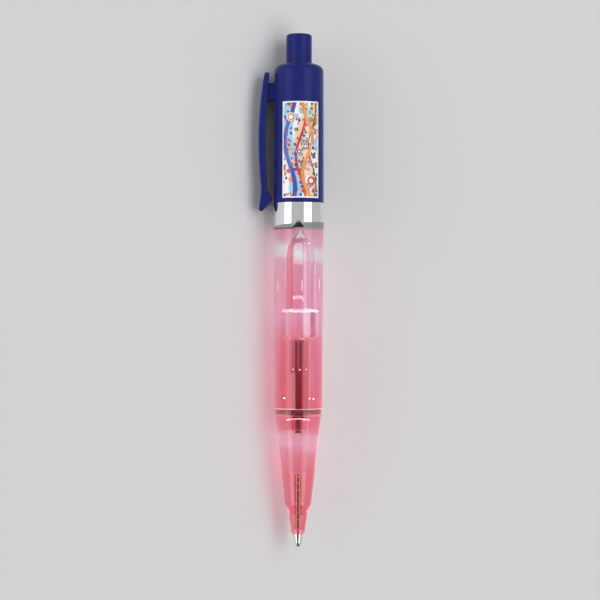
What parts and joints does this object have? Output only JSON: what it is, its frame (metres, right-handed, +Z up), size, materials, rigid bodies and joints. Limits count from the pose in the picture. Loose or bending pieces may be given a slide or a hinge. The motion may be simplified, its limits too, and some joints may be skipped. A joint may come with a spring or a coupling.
{
  "type": "light-up pen",
  "caption": "Push-button ballpoint pen whose thick clear barrel is lit by a small lamp; blue upper barrel with a pocket clip, plated ring and clear writing cone.",
  "frame": {"origin": "centre of the bounding box on the surface that the pen lies on", "axes": "+Y along the pen from the writing point to the push button, +Z up; the clip lies towards -X and its edge touches the surface"},
  "size_m": [0.0178, 0.14, 0.0139],
  "materials": {
    "blue_plastic": "glossy moulded",
    "printed_film": "printed film",
    "white_plastic": "moulded",
    "brass": "plain",
    "spring_steel": "drawn wire",
    "cell_steel": "drawn sheet",
    "lamp_resin": "clear resin",
    "lead_wire": "tinned",
    "plating": "mirror plated",
    "clear_plastic": "polished clear",
    "tube_plastic": "translucent",
    "ink": "wet",
    "point_metal": "turned and polished",
    "ball_metal": "polished"
  },
  "bodies": {
    "barrel": {"upper_barrel": "blue_plastic", "label": "printed_film", "cam_guide": "white_plastic", "contact_strip": "brass", "cell_carrier": "white_plastic", "lamp": "lamp_resin", "lamp_anode": "lead_wire", "lamp_cathode": "lead_wire", "plated_ring": "plating", "clear_barrel": "clear_plastic", "front_cone": "clear_plastic", "refill_sleeve": "clear_plastic", "refill_tube": "tube_plastic", "ink_column": "ink", "refill_socket": "tube_plastic", "writing_point": "point_metal", "return_spring": "spring_steel", "cell_spring": "spring_steel"},
    "button": {"push_button": "blue_plastic"},
    "cam": {"cam_rotor": "white_plastic", "contact_pin": "brass"},
    "cells": {"button_cell_1": "cell_steel", "button_cell_2": "cell_steel", "button_cell_3": "cell_steel"},
    "clip": {"clip": "blue_plastic"},
    "ball": {"point_ball": "ball_metal"}
  },
  "joints": [
    {"name": "button_press", "type": "slide", "parent": "barrel", "child": "button", "axis": [0, -1, 0], "range_m": [0, 0.0045], "stiffness_N_per_m": 200, "springref_m": -0.002},
    {"name": "cam_slide", "type": "slide", "parent": "barrel", "child": "cam", "axis": [0, -1, 0], "range_m": [0, 0.0015], "deforming": ["return_spring"]},
    {"name": "cell_slide", "type": "slide", "parent": "barrel", "child": "cells", "axis": [0, -1, 0], "range_m": [0, 0.0015], "deforming": ["cell_spring"]},
    {"name": "clip_flex", "type": "hinge", "parent": "barrel", "child": "clip", "pos_m": [-0.00412, 0.05415, 0.00397], "axis": [0.4374, 0, -0.8993], "range_deg": [0, 6], "stiffness_Nm_per_rad": 0.85},
    {"name": "ball_roll", "type": "hinge", "parent": "barrel", "child": "ball", "pos_m": [0.00197, -0.0695, 0.00693], "axis": [0.8993, 0, 0.4374], "continuous": true}
  ],
  "couplings": [
    {"joint": "cam_slide", "follows": "button_press", "ratio": 0.33333},
    {"joint": "cell_slide", "follows": "button_press", "ratio": 0.33333}
  ]
}
